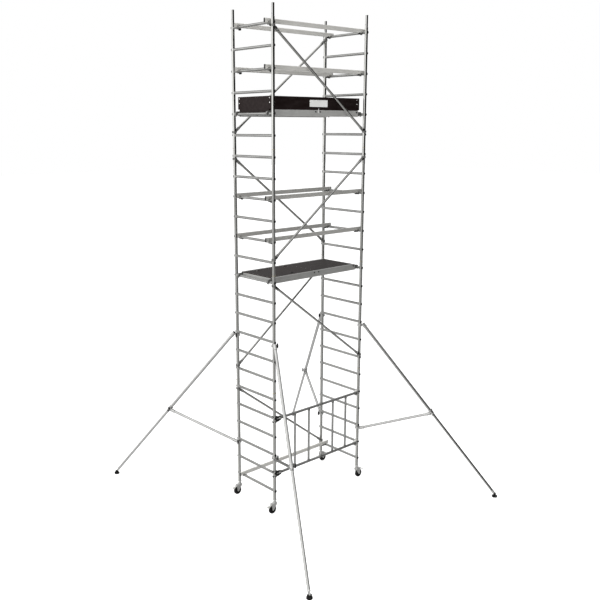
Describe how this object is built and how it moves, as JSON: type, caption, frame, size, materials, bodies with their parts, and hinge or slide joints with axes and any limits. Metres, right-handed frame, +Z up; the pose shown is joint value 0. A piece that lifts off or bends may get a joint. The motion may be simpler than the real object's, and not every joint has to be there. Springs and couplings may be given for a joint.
{
  "type": "mobile tower scaffold",
  "caption": "Tall wheeled tower scaffold of tubular ladder frames with trapdoor decks, hook-on rails and braces, a folding base gate and swinging outriggers.",
  "frame": {"origin": "on the floor under the middle of the tower's plan", "axes": "+Z up, +X along the decks away from the gate's fixed hinge, +Y across the decks away from the gate"},
  "size_m": [3.968, 4.616, 7.006],
  "materials": {
    "aluminium_tube": "satin drawn tube, rungs ribbed against slipping",
    "bright_tube": "bright satin tube",
    "rail_aluminium": "warm light grey satin",
    "deck_aluminium": "satin extruded profile",
    "grey_tube": "dull grey tube",
    "cast_claw": "dark cast metal",
    "zinc_plate": "zinc plated pressed steel",
    "zinc_yellow": "yellow passivated spring steel",
    "dark_plywood": "dark film-faced plywood with an anti-slip pattern",
    "toe_board_plywood": "near-black film-faced board",
    "white_fittings": "white painted",
    "black_rubber": "matte moulded",
    "black_plastic": "moulded, matte",
    "pedal_paint": "grey painted pressed steel"
  },
  "bodies": {
    "tower": {"ladder_frames_1": "aluminium_tube", "ladder_frames_2": "aluminium_tube", "ladder_frames_3": "aluminium_tube", "ladder_frames_4": "aluminium_tube", "frame_spigots": "bright_tube", "locking_clips": "zinc_yellow", "gate_post_hinges": "black_plastic", "guard_rails": "rail_aluminium", "rail_end_caps": "black_plastic", "diagonal_braces": "aluminium_tube", "hook_claws": "cast_claw", "middle_deck_frame": "deck_aluminium", "middle_deck_board": "dark_plywood", "upper_deck_frame": "deck_aluminium", "upper_deck_board": "dark_plywood", "deck_fittings": "cast_claw", "toe_boards": "toe_board_plywood", "toe_board_fittings": "white_fittings", "castor_stems": "zinc_plate"},
    "gate_left": {"gate_left_leaf": "aluminium_tube"},
    "gate_right": {"gate_right_leaf": "aluminium_tube"},
    "middle_hatch": {"middle_deck_hatch": "dark_plywood"},
    "upper_hatch": {"upper_deck_hatch": "dark_plywood"},
    "castor_fl": {"castor_fl_fork": "zinc_plate"},
    "castor_fl_wheel": {"castor_fl_wheel": "black_rubber"},
    "castor_fl_brake": {"castor_fl_brake": "pedal_paint"},
    "castor_fr": {"castor_fr_fork": "zinc_plate"},
    "castor_fr_wheel": {"castor_fr_wheel": "black_rubber"},
    "castor_fr_brake": {"castor_fr_brake": "pedal_paint"},
    "castor_rl": {"castor_rl_fork": "zinc_plate"},
    "castor_rl_wheel": {"castor_rl_wheel": "black_rubber"},
    "castor_rl_brake": {"castor_rl_brake": "pedal_paint"},
    "castor_rr": {"castor_rr_fork": "zinc_plate"},
    "castor_rr_wheel": {"castor_rr_wheel": "black_rubber"},
    "castor_rr_brake": {"castor_rr_brake": "pedal_paint"},
    "outrigger_fl": {"outrigger_fl_frame": "bright_tube"},
    "outrigger_fl_leg": {"outrigger_fl_lower_leg": "grey_tube"},
    "outrigger_fl_foot": {"outrigger_fl_foot": "black_rubber"},
    "outrigger_fl_top_knob": {"outrigger_fl_top_knob": "black_plastic"},
    "outrigger_fl_low_knob": {"outrigger_fl_low_knob": "black_plastic"},
    "outrigger_fl_collar_knob": {"outrigger_fl_collar_knob": "black_plastic"},
    "outrigger_fr": {"outrigger_fr_frame": "bright_tube"},
    "outrigger_fr_leg": {"outrigger_fr_lower_leg": "grey_tube"},
    "outrigger_fr_foot": {"outrigger_fr_foot": "black_rubber"},
    "outrigger_fr_top_knob": {"outrigger_fr_top_knob": "black_plastic"},
    "outrigger_fr_low_knob": {"outrigger_fr_low_knob": "black_plastic"},
    "outrigger_fr_collar_knob": {"outrigger_fr_collar_knob": "black_plastic"},
    "outrigger_rl": {"outrigger_rl_frame": "bright_tube"},
    "outrigger_rl_leg": {"outrigger_rl_lower_leg": "grey_tube"},
    "outrigger_rl_foot": {"outrigger_rl_foot": "black_rubber"},
    "outrigger_rl_top_knob": {"outrigger_rl_top_knob": "black_plastic"},
    "outrigger_rl_low_knob": {"outrigger_rl_low_knob": "black_plastic"},
    "outrigger_rl_collar_knob": {"outrigger_rl_collar_knob": "black_plastic"},
    "outrigger_rr": {"outrigger_rr_frame": "bright_tube"},
    "outrigger_rr_leg": {"outrigger_rr_lower_leg": "grey_tube"},
    "outrigger_rr_foot": {"outrigger_rr_foot": "black_rubber"},
    "outrigger_rr_top_knob": {"outrigger_rr_top_knob": "black_plastic"},
    "outrigger_rr_low_knob": {"outrigger_rr_low_knob": "black_plastic"},
    "outrigger_rr_collar_knob": {"outrigger_rr_collar_knob": "black_plastic"}
  },
  "joints": [
    {"name": "gate_left_swing", "type": "hinge", "parent": "tower", "child": "gate_left", "pos_m": [-0.757, -0.408, 1], "axis": [0, 0, -1], "range_deg": [0, 80]},
    {"name": "gate_right_fold", "type": "hinge", "parent": "gate_left", "child": "gate_right", "pos_m": [0.057, -0.388, 1], "axis": [0, 0, 1], "range_deg": [0, 160]},
    {"name": "middle_hatch_open", "type": "hinge", "parent": "tower", "child": "middle_hatch", "pos_m": [-0.345, 0.26, 3.4745], "axis": [-1, 0, 0], "range_deg": [0, 92]},
    {"name": "upper_hatch_open", "type": "hinge", "parent": "tower", "child": "upper_hatch", "pos_m": [-0.345, 0.26, 5.7145], "axis": [-1, 0, 0], "range_deg": [0, 92]},
    {"name": "castor_fl_swivel", "type": "hinge", "parent": "tower", "child": "castor_fl", "pos_m": [-0.871, -0.408, 0.14], "axis": [0, 0, 1], "continuous": true},
    {"name": "castor_fl_roll", "type": "hinge", "parent": "castor_fl", "child": "castor_fl_wheel", "pos_m": [-0.915, -0.408, 0.0625], "axis": [0, 1, 0], "continuous": true},
    {"name": "castor_fl_pedal", "type": "hinge", "parent": "castor_fl", "child": "castor_fl_brake", "pos_m": [-0.923, -0.408, 0.139], "axis": [0, -1, 0], "range_deg": [0, 12]},
    {"name": "castor_fr_swivel", "type": "hinge", "parent": "tower", "child": "castor_fr", "pos_m": [0.871, -0.408, 0.14], "axis": [0, 0, 1], "continuous": true},
    {"name": "castor_fr_roll", "type": "hinge", "parent": "castor_fr", "child": "castor_fr_wheel", "pos_m": [0.915, -0.408, 0.0625], "axis": [0, 1, 0], "continuous": true},
    {"name": "castor_fr_pedal", "type": "hinge", "parent": "castor_fr", "child": "castor_fr_brake", "pos_m": [0.923, -0.408, 0.139], "axis": [0, 1, 0], "range_deg": [0, 12]},
    {"name": "castor_rl_swivel", "type": "hinge", "parent": "tower", "child": "castor_rl", "pos_m": [-0.871, 0.408, 0.14], "axis": [0, 0, 1], "continuous": true},
    {"name": "castor_rl_roll", "type": "hinge", "parent": "castor_rl", "child": "castor_rl_wheel", "pos_m": [-0.915, 0.408, 0.0625], "axis": [0, 1, 0], "continuous": true},
    {"name": "castor_rl_pedal", "type": "hinge", "parent": "castor_rl", "child": "castor_rl_brake", "pos_m": [-0.923, 0.408, 0.139], "axis": [0, -1, 0], "range_deg": [0, 12]},
    {"name": "castor_rr_swivel", "type": "hinge", "parent": "tower", "child": "castor_rr", "pos_m": [0.871, 0.408, 0.14], "axis": [0, 0, 1], "continuous": true},
    {"name": "castor_rr_roll", "type": "hinge", "parent": "castor_rr", "child": "castor_rr_wheel", "pos_m": [0.915, 0.408, 0.0625], "axis": [0, 1, 0], "continuous": true},
    {"name": "castor_rr_pedal", "type": "hinge", "parent": "castor_rr", "child": "castor_rr_brake", "pos_m": [0.923, 0.408, 0.139], "axis": [0, 1, 0], "range_deg": [0, 12]},
    {"name": "outrigger_fl_swing", "type": "hinge", "parent": "tower", "child": "outrigger_fl", "pos_m": [-0.871, -0.408, 1.7], "axis": [0, 0, -1], "range_deg": [-30, 60]},
    {"name": "outrigger_fl_extend", "type": "slide", "parent": "outrigger_fl", "child": "outrigger_fl_leg", "axis": [-0.3209, -0.5559, -0.7668], "range_m": [-0.45, 0.4]},
    {"name": "outrigger_fl_ankle", "type": "hinge", "parent": "outrigger_fl_leg", "child": "outrigger_fl_foot", "pos_m": [-1.946, -2.26995, 0.045], "axis": [-0.866, 0.5, 0], "range_deg": [-20, 40]},
    {"name": "outrigger_fl_top_knob_turn", "type": "hinge", "parent": "outrigger_fl", "child": "outrigger_fl_top_knob", "pos_m": [-0.871, -0.408, 2.53], "axis": [0.866, -0.5, 0], "continuous": true},
    {"name": "outrigger_fl_low_knob_turn", "type": "hinge", "parent": "outrigger_fl", "child": "outrigger_fl_low_knob", "pos_m": [-0.871, -0.408, 0.855], "axis": [0.866, -0.5, 0], "continuous": true},
    {"name": "outrigger_fl_collar_knob_turn", "type": "hinge", "parent": "outrigger_fl", "child": "outrigger_fl_collar_knob", "pos_m": [-1.4416, -1.39631, 1.25022], "axis": [0.866, -0.5, 0], "continuous": true},
    {"name": "outrigger_fr_swing", "type": "hinge", "parent": "tower", "child": "outrigger_fr", "pos_m": [0.871, -0.408, 1.7], "axis": [0, 0, 1], "range_deg": [-30, 25]},
    {"name": "outrigger_fr_extend", "type": "slide", "parent": "outrigger_fr", "child": "outrigger_fr_leg", "axis": [0.3209, -0.5559, -0.7668], "range_m": [-0.45, 0.4]},
    {"name": "outrigger_fr_ankle", "type": "hinge", "parent": "outrigger_fr_leg", "child": "outrigger_fr_foot", "pos_m": [1.946, -2.26995, 0.045], "axis": [-0.866, -0.5, 0], "range_deg": [-20, 40]},
    {"name": "outrigger_fr_top_knob_turn", "type": "hinge", "parent": "outrigger_fr", "child": "outrigger_fr_top_knob", "pos_m": [0.871, -0.408, 2.53], "axis": [0.866, 0.5, 0], "continuous": true},
    {"name": "outrigger_fr_low_knob_turn", "type": "hinge", "parent": "outrigger_fr", "child": "outrigger_fr_low_knob", "pos_m": [0.871, -0.408, 0.855], "axis": [0.866, 0.5, 0], "continuous": true},
    {"name": "outrigger_fr_collar_knob_turn", "type": "hinge", "parent": "outrigger_fr", "child": "outrigger_fr_collar_knob", "pos_m": [1.4416, -1.39631, 1.25022], "axis": [0.866, 0.5, 0], "continuous": true},
    {"name": "outrigger_rl_swing", "type": "hinge", "parent": "tower", "child": "outrigger_rl", "pos_m": [-0.871, 0.408, 1.7], "axis": [0, 0, 1], "range_deg": [-30, 25]},
    {"name": "outrigger_rl_extend", "type": "slide", "parent": "outrigger_rl", "child": "outrigger_rl_leg", "axis": [-0.3209, 0.5559, -0.7668], "range_m": [-0.45, 0.4]},
    {"name": "outrigger_rl_ankle", "type": "hinge", "parent": "outrigger_rl_leg", "child": "outrigger_rl_foot", "pos_m": [-1.946, 2.26995, 0.045], "axis": [0.866, 0.5, 0], "range_deg": [-20, 40]},
    {"name": "outrigger_rl_top_knob_turn", "type": "hinge", "parent": "outrigger_rl", "child": "outrigger_rl_top_knob", "pos_m": [-0.871, 0.408, 2.53], "axis": [-0.866, -0.5, 0], "continuous": true},
    {"name": "outrigger_rl_low_knob_turn", "type": "hinge", "parent": "outrigger_rl", "child": "outrigger_rl_low_knob", "pos_m": [-0.871, 0.408, 0.855], "axis": [-0.866, -0.5, 0], "continuous": true},
    {"name": "outrigger_rl_collar_knob_turn", "type": "hinge", "parent": "outrigger_rl", "child": "outrigger_rl_collar_knob", "pos_m": [-1.4416, 1.39631, 1.25022], "axis": [-0.866, -0.5, 0], "continuous": true},
    {"name": "outrigger_rr_swing", "type": "hinge", "parent": "tower", "child": "outrigger_rr", "pos_m": [0.871, 0.408, 1.7], "axis": [0, 0, -1], "range_deg": [-30, 60]},
    {"name": "outrigger_rr_extend", "type": "slide", "parent": "outrigger_rr", "child": "outrigger_rr_leg", "axis": [0.3209, 0.5559, -0.7668], "range_m": [-0.45, 0.4]},
    {"name": "outrigger_rr_ankle", "type": "hinge", "parent": "outrigger_rr_leg", "child": "outrigger_rr_foot", "pos_m": [1.946, 2.26995, 0.045], "axis": [0.866, -0.5, 0], "range_deg": [-20, 40]},
    {"name": "outrigger_rr_top_knob_turn", "type": "hinge", "parent": "outrigger_rr", "child": "outrigger_rr_top_knob", "pos_m": [0.871, 0.408, 2.53], "axis": [-0.866, 0.5, 0], "continuous": true},
    {"name": "outrigger_rr_low_knob_turn", "type": "hinge", "parent": "outrigger_rr", "child": "outrigger_rr_low_knob", "pos_m": [0.871, 0.408, 0.855], "axis": [-0.866, 0.5, 0], "continuous": true},
    {"name": "outrigger_rr_collar_knob_turn", "type": "hinge", "parent": "outrigger_rr", "child": "outrigger_rr_collar_knob", "pos_m": [1.4416, 1.39631, 1.25022], "axis": [-0.866, 0.5, 0], "continuous": true}
  ],
  "couplings": [
    {"joint": "gate_right_fold", "follows": "gate_left_swing", "ratio": 2}
  ]
}
